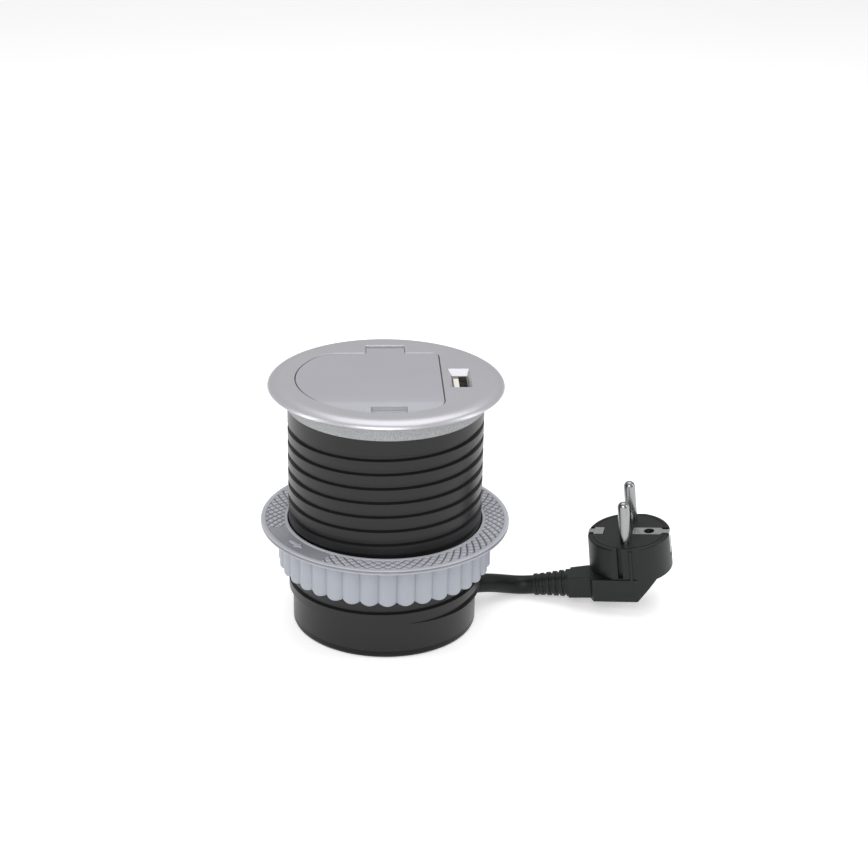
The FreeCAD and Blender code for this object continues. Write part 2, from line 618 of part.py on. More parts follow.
def make_usb_tongue():
    x0, bottom = USB_INNER_X, -13.65
    tongue = box(x0 + 0.02, x0 + 2.1, USB_Y - 5.8, USB_Y + 5.8, bottom, 0.5)
    tongue = tongue.fuse(box(x0 + 0.02, x0 + 5.3, USB_Y - 6.3, USB_Y + 6.3, bottom, -10.8))
    for offset in USB_CONTACTS:
        y = USB_Y + offset
        tongue = tongue.cut(box(x0 + 1.9, x0 + 2.2, y - 0.62, y + 0.62, -10.8, -0.4))
    return merged(tongue)


def make_usb_pins():
    profile = [(1.92, -10.7), (2.12, -10.7), (2.12, -7.0), (2.5, -4.6), (2.12, -0.6),
               (1.92, -0.6)]      # distance from the shell's inner face, z
    points = [(USB_INNER_X + x, z) for x, z in profile]
    return Part.makeCompound([prism_y(points, USB_Y + offset - 0.5, USB_Y + offset + 0.5)
                              for offset in USB_CONTACTS])


def make_transformer():
    core = box(11.0, PCB_X0, -8.5, 8.5, -62.0, -46.5)
    for y0, y1 in ((-5.5, -3.0), (3.0, 5.5)):
        core = core.cut(box(10.0, 30.0, y0, y1, -59.0, -49.5))
    coil = box(10.0, PCB_X0 - 0.8, -5.4, 5.4, -58.9, -49.6)
    coil = fillet(coil, 1.5, lambda edge: span(edge, "X") > 5)
    return merged(core.fuse(coil))


def make_capacitors():
    capacitors = []
    for y in (-13.0, 13.0):
        can = rod(4.0, -43.0, -27.0, CAPACITOR_X, y)
        can = can.cut(ring(4.2, 3.75, -29.2, -28.6, CAPACITOR_X, y))
        can = can.cut(rod(3.2, -27.25, -26.0, CAPACITOR_X, y))
        for offset in (-1.7, 1.7):
            can = can.fuse(rod(0.35, -46.2, -42.9, CAPACITOR_X, y + offset))
        capacitors.append(merged(can))
    return Part.makeCompound(capacitors)


def make_bridge_rectifier():
    body = box(20.4, PCB_X0 - 0.02, -4.2, 4.2, -40.0, -33.0)
    body = fillet(body, 0.6, lambda edge: span(edge, "X") > 3)
    for y in (-3.0, -1.0, 1.0, 3.0):
        body = body.fuse(box(22.2, 22.7, y - 0.35, y + 0.35, -43.5, -39.5))
    return merged(body)


# ---------------------------------------------------------------- barrel
GROOVE_TOP, GROOVE_ROOT = 2.6, 1.4   # groove width at the crest and at the root
GROOVE_Z0 = -90.0
GROOVE_END_AZ = 478.0                # the upper end, just over half a turn past the reference
BOSS_Z0, BOSS_Z1 = -96.5, -84.0      # cover screw bosses


def make_body_tube():
    tube = rod(TUBE_R, BASE_STEP_Z, COLLAR_Z).fuse(rod(BASE_R, TUBE_Z, BASE_STEP_Z + 0.5))
    tube = tube.cut(rod(TUBE_RI, TUBE_Z - 1, COLLAR_Z + 1))
    # pockets for the bezel's lugs
    for azimuth in LUG_AZ:
        tube = tube.cut(sector(35.0, 36.1, azimuth, 7.5, -12.9, -10.9))
    # rails for the circuit board
    for side in (-1, 1):
        y0, y1 = sorted((side * 19.8, side * 30))
        rail = box(PCB_X0 - 1.6, PCB_X1 + 1.6, y0, y1, -68.0, -15.0)
        rail = rail.common(rod(TUBE_TRIM_R, -70, -10))
        rail = rail.cut(box(PCB_X0 - 0.1, PCB_X1 + 0.1, -PCB_HALF_Y - 0.15, PCB_HALF_Y + 0.15,
                            PCB_Z0 - 0.05, -10))
        tube = tube.fuse(rail)
    # bosses for the cover screws, each with a web to the wall
    wall = rod(TUBE_TRIM_R, -100, -80)
    for azimuth in COVER_SCREW_AZ:
        x, y = polar(COVER_SCREW_R, azimuth)
        web = box(COVER_SCREW_R, TUBE_TRIM_R, -1.5, 1.5, BOSS_Z0, BOSS_Z1)
        boss = rod(3.0, BOSS_Z0, BOSS_Z1, x, y).fuse(turned(web, azimuth))
        tube = tube.fuse(boss.common(wall))
        tube = tube.cut(rod(1.25, -97.0, -86.0, x, y))
    # block above the cord that the clamp screws go into
    block = box(24.0, TUBE_TRIM_R, -9.5, 9.5, -87.4, -83.0)
    block = block.fuse(box(25.5, 31.5, -3.4, 3.4, -90.0, -87.0))
    tube = tube.fuse(turned(block, CORD_AZ).common(wall))
    for y in (-CLAMP_SIDE, CLAMP_SIDE):
        tube = tube.cut(turned(rod(1.25, -90.5, -84.5, CLAMP_OUT, y), CORD_AZ))
    # cord hole in the base wall
    tube = tube.cut(turned(rod_x(4.9, 33.0, 39.0, 0, CORD_Z), CORD_AZ))
    tube = tube.removeSplitter()
    # thread groove; its flanks are carried on past the crest
    groove_z1 = THREAD_REF_Z + PITCH * (GROOVE_END_AZ - THREAD_REF_AZ) / 360.0
    flank = (GROOVE_TOP - GROOVE_ROOT) / (TUBE_R - THREAD_ROOT) / 2
    outer_r = TUBE_R + 1.5
    root_half = GROOVE_ROOT / 2
    outer_half = root_half + flank * (outer_r - THREAD_ROOT)
    tube = tube.cut(thread_bar(GROOVE_Z0, groove_z1, [
        (THREAD_ROOT, -root_half), (THREAD_ROOT, root_half), (outer_r, outer_half),
        (outer_r, -outer_half)]))
    return only_solid(tube)


def make_bottom_cover():
    edge_r, spigot_r = BASE_R - 0.02, 35.3
    cover = revolve([(0, COVER_Z), (BASE_R - 1.4, COVER_Z), (BASE_R - 0.4, COVER_Z + 0.35),
                     (edge_r, COVER_Z + 1.2), (edge_r, TUBE_Z), (0, TUBE_Z)])
    cover = cover.fuse(ring(spigot_r, 33.9, TUBE_Z - 0.5, -97.2))
    # gap in the spigot at the cord
    cover = cover.cut(turned(box(30, 38, -6.5, 6.5, TUBE_Z, -96), CORD_AZ))
    # pillars for the screws, with countersunk holes
    for azimuth in COVER_SCREW_AZ:
        x, y = polar(COVER_SCREW_R, azimuth)
        pillar = rod(3.0, TUBE_Z - 0.5, -96.55, x, y).cut(ring(40, spigot_r, -110, -90))
        cover = cover.fuse(pillar)
        cover = cover.cut(rod(1.6, COVER_Z - 1, -96, x, y))
        cover = cover.cut(rod(3.0, COVER_Z - 1, COVER_HEAD_Z, x, y))
    # shallow ring groove in the underside
    return merged(cover.cut(ring(24.0, 22.8, COVER_Z - 1, COVER_Z + 0.35)))


def make_cover_screws():
    places = [polar(COVER_SCREW_R, azimuth) for azimuth in COVER_SCREW_AZ]
    return screws_at(places, COVER_HEAD_Z, radius=1.2, length=14.0, head_r=2.8, head_h=1.5)


# ---------------------------------------------------------------- desk clamp
WASHER_R = 50.4
WASHER_Z0, WASHER_Z1 = -59.1, -57.2
NUT_Z0, NUT_Z1 = -77.0, -59.15
NUT_LOBE, NUT_VALLEY, NUT_MID = 43.4, 41.75, 42.6   # radii of the fluted outline
FLUTES = 36


def make_clamp_washer():
    washer = ring(WASHER_R, CLAMP_BORE, WASHER_Z0, WASHER_Z1)
    washer = fillet(washer, 0.35, lambda edge: is_circle(edge, WASHER_R))
    return merged(washer.fuse(ring(41.3, CLAMP_BORE, -61.0, WASHER_Z0 + 0.2)))


def make_ring_nut():
    step = 360.0 / FLUTES
    flute = ((NUT_MID, -0.27), (NUT_LOBE, 0.0), (NUT_MID, 0.27), (NUT_VALLEY, 0.5),
             (NUT_MID, 0.73))     # radius, fraction of a step
    edges = []
    for i in range(FLUTES):
        points = [Vector(*polar(r, (i + part) * step), NUT_Z0) for r, part in flute]
        edges.append(Part.Arc(*points[:3]).toShape())
        edges.append(Part.Arc(*points[2:]).toShape())
    nut = face_within(edges).extrude(UP * (NUT_Z1 - NUT_Z0))
    nut = nut.cut(rod(CLAMP_BORE, NUT_Z0 - 1, NUT_Z1 + 1))
    # counterbore for the washer's collar
    nut = nut.cut(rod(41.4, -61.1, NUT_Z1 + 1))
    # thread ridge that runs in the barrel's groove
    ridge = thread_bar(-75.2, -62.8, [(38.15, -0.5), (38.15, 0.5), (40.3, 1.3), (40.3, -1.3)])
    return merged(nut.fuse(ridge))


# ---------------------------------------------------------------- plug placement
# The plug's own frame: origin in the middle of its underside, +Z towards the pins, -X towards
# the cord, and the live pins in line along Y.
PLUG_AT = Vector(105.0, 12.99, -95.19)
PLUG_YAW, PLUG_LEAN, PLUG_PITCH = -15.56, -6.5, 3.0   # degrees round Z, Y and X
BOOT_AT = Vector(-24.0, -7.0, 3.4)    # where the cord's axis enters the body
BOOT_SLOPE = 4.2                      # degrees
BOOT_L = 16.6


def plug_to_world(shape):
    shape = shape.copy()
    shape.rotate(ORIGIN, ALONG_X, PLUG_PITCH)
    shape.rotate(ORIGIN, ALONG_Y, PLUG_LEAN)
    shape.rotate(ORIGIN, UP, PLUG_YAW)
    shape.translate(PLUG_AT)
    return shape


def cord_point(distance):
    """A point on the cord's axis at the plug, a distance out from the body."""
    slope = math.radians(BOOT_SLOPE)
    point = BOOT_AT - Vector(math.cos(slope), 0, math.sin(slope)) * distance
    return plug_to_world(Part.Vertex(point.x, point.y, point.z)).Point


# ---------------------------------------------------------------- cord and its anchorage
def make_power_cable():
    base = Vector(0, 0, CORD_Z)
    inner, outlet = CORD_DIR * 21.5 + base, CORD_DIR * 39.0 + base
    boot, end = cord_point(BOOT_L + 2.0), cord_point(-3.0)
    plug_dir = (end - boot).normalize()
    # the free length between the base and the plug's boot
    pull = 0.38 * (boot - outlet).Length
    curve = Part.BezierCurve()
    curve.setPoles([outlet, outlet + CORD_DIR * pull, boot - plug_dir * pull, boot])
    cable = sweep(curve.toShape(), circle_wire(CORD_R, outlet, CORD_DIR))
    # straight lengths into the base and into the plug
    cable = cable.fuse(Part.makeCylinder(CORD_R, (outlet - inner).Length, inner, CORD_DIR))
    cable = cable.fuse(Part.makeCylinder(CORD_R, (end - boot).Length, boot, plug_dir))
    return merged(cable)


def make_cable_gland():
    gland = rod_x(4.85, 35.0, 37.8, 0, 0)
    gland = gland.fuse(rod_x(5.5, 34.0, 35.3, 0, 0))
    gland = gland.fuse(Part.makeCone(5.6, 5.0, 1.5, Vector(37.3, 0, 0), ALONG_X))
    gland = gland.cut(rod_x(CORD_R + 0.1, 30, 42, 0, 0))
    gland.translate(Vector(0, 0, CORD_Z))
    # the flanges sit against the wall's curved faces
    wall = ring(BASE_R + 0.03, TUBE_RI - 0.03, -110, -80)
    gland = gland.cut(wall.cut(rod_x(4.86, 30, 42, 0, CORD_Z)))
    return merged(turned(gland, CORD_AZ))


def make_cord_clamp():
    """Bar below the cord, with a pad in the middle and countersunk holes."""
    bottom = -99.5
    clamp = box(25.5, 31.5, -9.3, 9.3, bottom, -98.2)
    clamp = clamp.fuse(box(26.5, 30.5, -3.0, 3.0, -98.4, -98.0))
    for y in (-CLAMP_SIDE, CLAMP_SIDE):
        clamp = clamp.cut(rod(1.35, -101, -97, CLAMP_OUT, y))
        clamp = clamp.cut(cone(2.6, 1.35, bottom, 1.2, CLAMP_OUT, y))
    return merged(turned(clamp, CORD_AZ))


def make_clamp_screws():
    screws = []
    for y in (-CLAMP_SIDE, CLAMP_SIDE):
        one = rod(1.2, -98.5, -85.1).fuse(cone(2.45, 1.2, -99.45, 1.15))
        one = cut_cross(one, 1.5, 0.3, -100, -99.0)
        one.translate(Vector(CLAMP_OUT, y, 0))
        screws.append(turned(merged(one), CORD_AZ))
    return Part.makeCompound(screws)


# ---------------------------------------------------------------- wires
CORE_R, BOARD_WIRE_R = 1.25, 0.9
CORE_START = 21.3                # where the cores leave the cord, out from the barrel's axis
WIRE_GAP = 0.05                  # between a core's end and the tab above it


def cord_place(out, side, rise):
    """A place given out along the cord's direction, to its left, and above its axis."""
    return (out * CORD_DIR.x - side * CORD_DIR.y, out * CORD_DIR.y + side * CORD_DIR.x,
            CORD_Z + rise)


def core_wire(points):
    """A core that leaves the cord inwards and ends pointing up."""
    return pipe(points, CORE_R, CORD_DIR * -1, UP)


def make_line_wire():
    return core_wire([cord_place(CORE_START, -1.5, -0.9), cord_place(14.0, -2.6, 0.0),
                      (4.6, -4.0, -80.0), (2.4, -3.6, -62.0),
                      (LINE_X, CUP_Y, CONTACT_Z0 - WIRE_GAP)])


def make_neutral_wire():
    return core_wire([cord_place(CORE_START, 1.5, -0.9), cord_place(12.0, 2.6, 0.0),
                      (-6.0, 4.0, -84.0), (-16.0, 2.0, -66.0),
                      (NEUTRAL_X, CUP_Y, CONTACT_Z0 - WIRE_GAP)])


def make_earth_wire():
    return core_wire([cord_place(CORE_START, 0.0, 1.6), cord_place(13.0, 0.6, 6.0),
                      (-1.0, 3.0, -76.0), (-6.4, 1.0, -62.0),
                      (CUP_X, CUP_Y, STRAP_Z0 - WIRE_GAP)])


def make_board_wires():
    """From the circuit board to the sides of the line and neutral tabs."""
    board_x = PCB_X0 - 0.03
    line = [(board_x, -12.5, -56.0), (18.0, -13.5, -54.5), (9.0, -9.5, -47.0),
            (LINE_X, CUP_Y - 0.43, -42.3)]
    neutral = [(board_x, 12.5, -56.0), (14.0, 17.5, -54.5), (-10.0, 13.5, -49.0),
               (NEUTRAL_X, CUP_Y + 0.43, -42.3)]
    return Part.makeCompound([pipe(line, BOARD_WIRE_R, ALONG_X * -1, ALONG_Y),
                              pipe(neutral, BOARD_WIRE_R, ALONG_X * -1, ALONG_Y * -1)])


# ---------------------------------------------------------------- plug, in its own frame
PLUG_FACE = 24.3              # height of the pin face above the underside
PLUG_R_TOP, PLUG_R_LOW = 17.05, 17.3
PLUG_FLAT = 16.4              # flats at the two guide grooves
PLUG_PIN_R, PLUG_PIN_L = 2.4, 18.5
PLUG_ROOT_R = 2.0             # pin root inside the body
BLOCK_Y0, BLOCK_Y1, BLOCK_H = -16.9, 9.0, 10.1
BARREL_Z0 = 8.5               # lower end of the round part
EARTH_HOLE = (8.4, 0.5)       # x, y of the earth socket
STRIP_T = 0.7                 # earth strip thickness
STRIP_Z0, STRIP_Z1 = PLUG_FACE - STRIP_T, PLUG_FACE - 0.02


def round_rect(x, y0, y1, z0, z1, radii):
    """Rounded outline at one x; radii are for the corners y0z0, y1z0, y1z1, y0z1."""
    corners = ((y0, z0, 1, 1), (y1, z0, -1, 1), (y1, z1, -1, -1), (y0, z1, 1, -1))
    diagonal = math.sqrt(0.5)
    arcs = []
    for i, ((y, z, y_sign, z_sign), radius) in enumerate(zip(corners, radii)):
        centre_y, centre_z = y + y_sign * radius, z + z_sign * radius
        middle = Vector(x, centre_y - y_sign * radius * diagonal,
                        centre_z - z_sign * radius * diagonal)
        arc = [Vector(x, y, centre_z), middle, Vector(x, centre_y, z)]
        arcs.append(arc[::-1] if i % 2 else arc)
    edges = []
    for arc, following in zip(arcs, arcs[1:] + arcs[:1]):
        edges.append(Part.Arc(*arc).toShape())
        edges.append(Part.LineSegment(arc[-1], following[0]).toShape())
    return Part.Wire(edges)


def plug_block():
    """Low block: a side outline carried across, trimmed to the round part's circle at +X."""
    profile = [(-13.9, 0.0), (4.5, 0.0), (12.3, 8.5), (18.5, 8.9), (18.5, BLOCK_H),
               (-13.9, BLOCK_H)]
    block = prism_y(profile, BLOCK_Y0, BLOCK_Y1)
    block = block.common(rod(PLUG_R_LOW, -1, 12).fuse(box(-30, 0, -30, 30, -1, 12)))
    corner = [(-15.4, -14.4), (-13.9, BLOCK_Y0), (-12.9, BLOCK_Y0), (-12.9, -12.0),
              (-15.4, -12.0)]
    return block.fuse(prism(corner, 0, BLOCK_H))


def plug_barrel():
    """Round part under the pin face, with two flats, undercut by a cone at the +Y side."""
    barrel = cone(PLUG_R_LOW, PLUG_R_TOP, BARREL_Z0, PLUG_FACE - BARREL_Z0)
    barrel = barrel.common(box(-30, 30, -PLUG_FLAT, PLUG_FLAT, 0, 40))
    under = cone(11.0, 18.5, BARREL_Z0, 4.2).fuse(rod(30, 12.7, 50))
    return barrel.common(under.fuse(box(-30, 30, -30, BLOCK_Y1, 0, 40)))


def boot_and_bore():
    """Strain relief boot, a tapered and ribbed sleeve, and the cord's bore through it."""
    end = -BOOT_L
    profile = [(0.0, end), (4.4, end), (4.65, end + 0.3), (4.65, end + 1.5)]
    x = end + 1.9
    for i in range(5):
        rib_r = 4.75 + 0.27 * i
        valley_r = max(rib_r - 0.85, CORD_R + 0.4)
        profile += [(valley_r, x - 0.25), (valley_r, x + 0.75), (rib_r, x + 1.05),
                    (rib_r, x + 2.45)]
        x += 2.8
    profile += [(5.7, x + 0.2), (5.7, 1.5), (0.0, 1.5)]
    boot = revolve(profile)
    boot.rotate(ORIGIN, ALONG_Y, 90)
    bore = rod_x(CORD_R + 0.12, -BOOT_L - 2, 4.5, 0, 0)
    for shape in (boot, bore):
        shape.rotate(ORIGIN, ALONG_Y, -BOOT_SLOPE)
        shape.translate(BOOT_AT)
    return boot, bore


def make_plug_body():
    above = PLUG_FACE + 1
    neck = Part.makeLoft([round_rect(-24.9, -14.1, -1.0, -0.4, 9.5, (0.8, 3.0, 5.0, 0.8)),
                          round_rect(-12.5, -14.4, 1.2, 0.0, BLOCK_H - 0.02,
                                     (0.8, 3.0, 5.0, 0.8))], True, True)
    plug = plug_barrel().fuse(plug_block()).fuse(neck)
    plug = fillet(plug, 0.7, lambda edge:
                  min(vertex.Z for vertex in edge.Vertexes) > PLUG_FACE - 0.01)
    # guide grooves on the two flats, and a rib beside the -Y one
    for side in (-1, 1):
        y0, y1 = sorted((side * (PLUG_FLAT - 2.2), side * 18))
        plug = plug.cut(box(-3.0, -1.0, y0, y1, BLOCK_H + 0.6, above))
    plug = plug.fuse(rod(0.75, BLOCK_H - 0.3, PLUG_FACE - 0.9, 2.5, -PLUG_FLAT + 0.1))
    boot, bore = boot_and_bore()
    plug = plug.fuse(boot).cut(bore)
    # bores for the pin roots, and a fine ring groove in the face
    for side in (-1, 1):
        plug = plug.cut(rod(PLUG_ROOT_R + 0.05, PLUG_FACE - 13.0, above, 0, side * HALF_PITCH))
    plug = plug.cut(ring(15.2, 14.9, PLUG_FACE - 0.25, above))
    # beds for the earth strips, on the face and down the side
    for face_x, side_x in (((-19.0, -10.4), (-19.0, -15.9)), ((1.5, 19.0), (15.9, 19.0))):
        plug = plug.cut(box(*face_x, -2.6, 3.6, PLUG_FACE - 0.75, above))
        plug = plug.cut(box(*side_x, -1.6, 2.6, 13.5, above))
    plug = plug.cut(rod(2.75, PLUG_FACE - 11.5, above, *EARTH_HOLE))
    return plug_to_world(merged(plug))


def make_plug_pins():
    pins = []
    tip_z = PLUG_FACE + PLUG_PIN_L - PLUG_PIN_R      # centre of the rounded tip
    for side in (-1, 1):
        y = side * HALF_PITCH
        pin = rod(PLUG_PIN_R, PLUG_FACE, tip_z, 0, y)
        pin = pin.fuse(Part.makeSphere(PLUG_PIN_R, Vector(0, y, tip_z)))
        pin = pin.cut(rod(5, PLUG_FACE - 5, PLUG_FACE, 0, y))
        pin = pin.fuse(rod(PLUG_ROOT_R, PLUG_FACE - 12.5, PLUG_FACE + 0.5, 0, y))
        pins.append(plug_to_world(merged(pin)))
    return Part.makeCompound(pins)


def make_plug_earth_contacts():
    """Two strips that lie on the pin face and turn down the side."""
    # long strip with the earth socket's mouth
    long_end = [(12.9, -2.4), (14.2, -1.0), (16.85, -1.0), (16.85, 2.0), (14.2, 2.0),
                (12.9, 3.4)]
    strip = box(1.7, 13.0, -2.4, 3.4, STRIP_Z0, STRIP_Z1)
    strip = strip.fuse(prism(long_end, STRIP_Z0, STRIP_Z1))
    strip = strip.fuse(box(16.1, 16.85, -1.4, 2.4, 14.0, STRIP_Z1))
    strip = strip.cut(rod(2.15, PLUG_FACE - 3, PLUG_FACE + 1, *EARTH_HOLE))
    strip = strip.fuse(ring(2.7, 2.15, PLUG_FACE - 10.5, STRIP_Z0 + 0.1, *EARTH_HOLE))
    # short strip
    short_end = [(-14.5, -1.2), (-16.85, -0.6), (-16.85, 1.6), (-14.5, 2.2)]
    short = box(-14.6, -10.6, -2.4, 3.4, STRIP_Z0, STRIP_Z1)
    short = short.fuse(prism(short_end, STRIP_Z0, STRIP_Z1))
    short = short.fuse(box(-16.85, -16.1, -1.4, 2.4, 14.0, STRIP_Z1))
    return Part.makeCompound([plug_to_world(merged(strip)), plug_to_world(merged(short))])


# ---------------------------------------------------------------- build and export
MAKERS = {
    "bezel": make_bezel,
    "lid": make_lid,
    "hinge_pin": make_hinge_pin,
    "lid_spring": make_lid_spring,
    "socket_insert": make_socket_insert,
    "shutter": make_shutter,
    "shutter_spring": make_shutter_spring,
    "contact_carrier": make_contact_carrier,
    "carrier_screws": make_carrier_screws,
    "line_contact": make_line_contact,
    "neutral_contact": make_neutral_contact,
    "earth_strap": make_earth_strap,
    "usb_board": make_usb_board,
    "usb_shell": make_usb_shell,
    "usb_tongue": make_usb_tongue,
    "usb_pins": make_usb_pins,
    "transformer": make_transformer,
    "capacitors": make_capacitors,
    "bridge_rectifier": make_bridge_rectifier,
    "body_tube": make_body_tube,
    "bottom_cover": make_bottom_cover,
    "cover_screws": make_cover_screws,
    "clamp_washer": make_clamp_washer,
    "ring_nut": make_ring_nut,
    "power_cable": make_power_cable,
    "cable_gland": make_cable_gland,
    "cord_clamp": make_cord_clamp,
    "clamp_screws": make_clamp_screws,
    "wire_line": make_line_wire,
    "wire_neutral": make_neutral_wire,
    "wire_earth": make_earth_wire,
    "board_wires": make_board_wires,
    "plug_body": make_plug_body,
    "plug_pins": make_plug_pins,
    "plug_earth_contacts": make_plug_earth_contacts,
}


def main():
    os.makedirs("parts", exist_ok=True)
    for name, make in MAKERS.items():
        make().exportStep("parts/%s.step" % name)


main()
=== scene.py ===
"""Round power socket for a panel: lidded bezel, USB board, body tube, clamp flange, ring nut,
power cable and plug. The socket's axis is Z, with the flange above the nut. The camera
looks from the front (-Y) and a little above. Turned pieces are laid out in millimetres,
everything else in metres.
"""
import math
import bpy
import bmesh
import numpy as np
from mathutils import Vector, Matrix


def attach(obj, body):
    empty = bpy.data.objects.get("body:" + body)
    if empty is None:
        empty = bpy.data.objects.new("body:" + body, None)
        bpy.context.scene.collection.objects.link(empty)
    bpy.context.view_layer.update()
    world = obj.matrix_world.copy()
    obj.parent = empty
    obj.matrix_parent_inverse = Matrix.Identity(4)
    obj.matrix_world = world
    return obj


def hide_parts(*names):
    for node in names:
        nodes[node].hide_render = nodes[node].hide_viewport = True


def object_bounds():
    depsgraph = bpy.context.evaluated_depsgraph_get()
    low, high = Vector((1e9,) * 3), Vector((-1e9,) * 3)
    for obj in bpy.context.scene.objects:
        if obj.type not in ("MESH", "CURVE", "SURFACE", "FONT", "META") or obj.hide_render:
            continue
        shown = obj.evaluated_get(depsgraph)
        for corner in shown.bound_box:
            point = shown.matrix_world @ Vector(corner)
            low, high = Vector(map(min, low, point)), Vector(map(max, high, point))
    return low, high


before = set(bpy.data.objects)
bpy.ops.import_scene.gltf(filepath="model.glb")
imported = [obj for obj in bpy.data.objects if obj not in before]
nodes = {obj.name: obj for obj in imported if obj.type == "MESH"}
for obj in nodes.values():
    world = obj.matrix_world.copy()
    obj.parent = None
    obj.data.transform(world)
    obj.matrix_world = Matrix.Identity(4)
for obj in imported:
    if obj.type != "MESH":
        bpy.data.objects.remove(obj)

MM = 0.001
cad_box = [[float(x) for x in p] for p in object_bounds()]


# ------------------------------------------------------------------ shader building
def srgb(red, green, blue):
    """Linear RGBA from 0-255 sRGB values."""
    def linear(channel):
        channel = channel / 255.0
        return channel / 12.92 if channel <= 0.04045 else ((channel + 0.055) / 1.055) ** 2.4
    return (linear(red), linear(green), linear(blue), 1.0)


def shades(rgb, darker, lighter):
    """Two tones of one colour, scaled by the given factors."""
    base = srgb(*rgb)[:3]
    low = tuple(c * darker for c in base) + (1.0,)
    high = tuple(min(1.0, c * lighter) for c in base) + (1.0,)
    return low, high


class Shader:
    """A Principled material in object space. Methods add nodes and return output sockets."""

    def __init__(self, name):
        self.material = bpy.data.materials.new(name)
        self.material.use_nodes = True
        self.tree = self.material.node_tree
        self.tree.nodes.clear()
        output = self.node("ShaderNodeOutputMaterial")
        self.surface = self.node("ShaderNodeBsdfPrincipled")
        self.feed(output.inputs[0], self.surface.outputs[0])
        self.position = self.node("ShaderNodeTexCoord").outputs["Object"]
        self.normal = None

    def node(self, kind, **settings):
        node = self.tree.nodes.new(kind)
        for key, value in settings.items():
            setattr(node, key, value)
        return node

    def feed(self, socket, value):
        """Link an output socket to an input, or give the input a constant."""
        if isinstance(value, bpy.types.NodeSocket):
            self.tree.links.new(value, socket)
        else:
            socket.default_value = value

    def set(self, name, value):
        self.feed(self.surface.inputs[name], value)

    def stretched(self, scale):
        node = self.node("ShaderNodeMapping")
        node.inputs["Scale"].default_value = scale
        self.feed(node.inputs[0], self.position)
        return node.outputs[0]

    def noise(self, scale, detail=2.0, rough=0.5, position=None):
        node = self.node("ShaderNodeTexNoise")
        node.inputs["Scale"].default_value = scale
        node.inputs["Detail"].default_value = detail
        node.inputs["Roughness"].default_value = rough
        self.feed(node.inputs["Vector"], position or self.position)
        return node.outputs["Fac"]

    def voronoi(self, scale):
        node = self.node("ShaderNodeTexVoronoi", feature="F1")
        node.inputs["Scale"].default_value = scale
        self.feed(node.inputs["Vector"], self.position)
        return node.outputs["Distance"]

    def remap(self, value, source, target=(0.0, 1.0)):
        """Map the source range onto the target range, clamped."""
        node = self.node("ShaderNodeMapRange", clamp=True)
        self.feed(node.inputs["Value"], value)
        names = ("From Min", "From Max", "To Min", "To Max")
        for name, limit in zip(names, (*source, *target)):
            node.inputs[name].default_value = limit
        return node.outputs[0]

    def math(self, operation, first, second=None):
        node = self.node("ShaderNodeMath", operation=operation)
        self.feed(node.inputs[0], first)
        if second is not None:
            self.feed(node.inputs[1], second)
        return node.outputs[0]

    def average(self, first, second, share):
        """Weighted mean, where share is the weight of the first value."""
        return self.math("ADD", self.math("MULTIPLY", first, share),
                         self.math("MULTIPLY", second, 1 - share))

    def mix_colour(self, factor, first, second):
        node = self.node("ShaderNodeMix", data_type="RGBA")
        for index, value in ((0, factor), (6, first), (7, second)):
            self.feed(node.inputs[index], value)
        return node.outputs[2]

    def mix_value(self, factor, first, second):
        node = self.node("ShaderNodeMix", data_type="FLOAT")
        for index, value in ((0, factor), (2, first), (3, second)):
            self.feed(node.inputs[index], value)
        return node.outputs[0]

    def bump(self, height, strength, distance):
        """Add a bump on top of those already made; distance is in metres."""
        node = self.node("ShaderNodeBump")
        self.feed(node.inputs["Strength"], strength)
        node.inputs["Distance"].default_value = distance
        self.feed(node.inputs["Height"], height)
        if self.normal is not None:
            self.feed(node.inputs["Normal"], self.normal)
        self.normal = node.outputs[0]
        self.set("Normal", self.normal)

    def xyz(self):
        node = self.node("ShaderNodeSeparateXYZ")
        self.feed(node.inputs[0], self.position)
        return node.outputs


# ------------------------------------------------------------------ materials
NOISE_CORE = (0.3, 0.7)     # the range that holds most of a noise texture's values


def plastic(name, rgb, rough=0.4, grain=2600.0, bump=0.12, var=0.06, spec=0.5, coat=0.0):
    """Moulded plastic: fine grain over soft clouds; var is the spread of tone."""
    shader = Shader(name)
    low, high = shades(rgb, darker=1 - var, lighter=1 + var)
    cloud = shader.noise(scale=35.0, detail=3.0, rough=0.6)
    fine = shader.noise(scale=grain, detail=2.0, rough=0.6)
    tone = shader.remap(shader.average(cloud, fine, share=0.6), source=NOISE_CORE)
    shader.set("Base Color", shader.mix_colour(tone, low, high))
    shader.set("Roughness", shader.remap(shader.average(cloud, fine, share=0.5),
                                         source=NOISE_CORE, target=(rough - 0.06, rough + 0.06)))
    shader.set("Specular IOR Level", spec)
    if coat:
        shader.set("Coat Weight", coat)
        shader.set("Coat Roughness", 0.2)
    shader.bump(fine, strength=bump, distance=0.00003)
    return shader.material


def add_collar_grit(shader, colour, rough):
    """Speckle and roughen the part below z = 0 and outside a radius of about 39 mm."""
    x, y, z = shader.xyz()
    radius = shader.math("SQRT", shader.math("ADD", shader.math("MULTIPLY", x, x),
                                             shader.math("MULTIPLY", y, y)))
    mask = shader.remap(z, source=(-0.0004, 0.0002), target=(1.0, 0.0))
    mask = shader.math("MULTIPLY", mask, shader.remap(radius, source=(0.0388, 0.0390)))
    coarse = shader.noise(scale=2400.0, detail=3.0, rough=0.75)
    fine = shader.noise(scale=3600.0, detail=2.0, rough=0.8)
    speckle = shader.average(coarse, fine, share=0.5)
    grit = shader.mix_colour(shader.remap(speckle, source=(0.36, 0.64)),
                             srgb(112, 113, 114), srgb(176, 177, 178))
    colour = shader.mix_colour(mask, colour, grit)
    rough = shader.mix_value(mask, rough, 0.5)
    shader.bump(speckle, strength=shader.math("MULTIPLY", mask, 0.55), distance=0.00008)
    return colour, rough


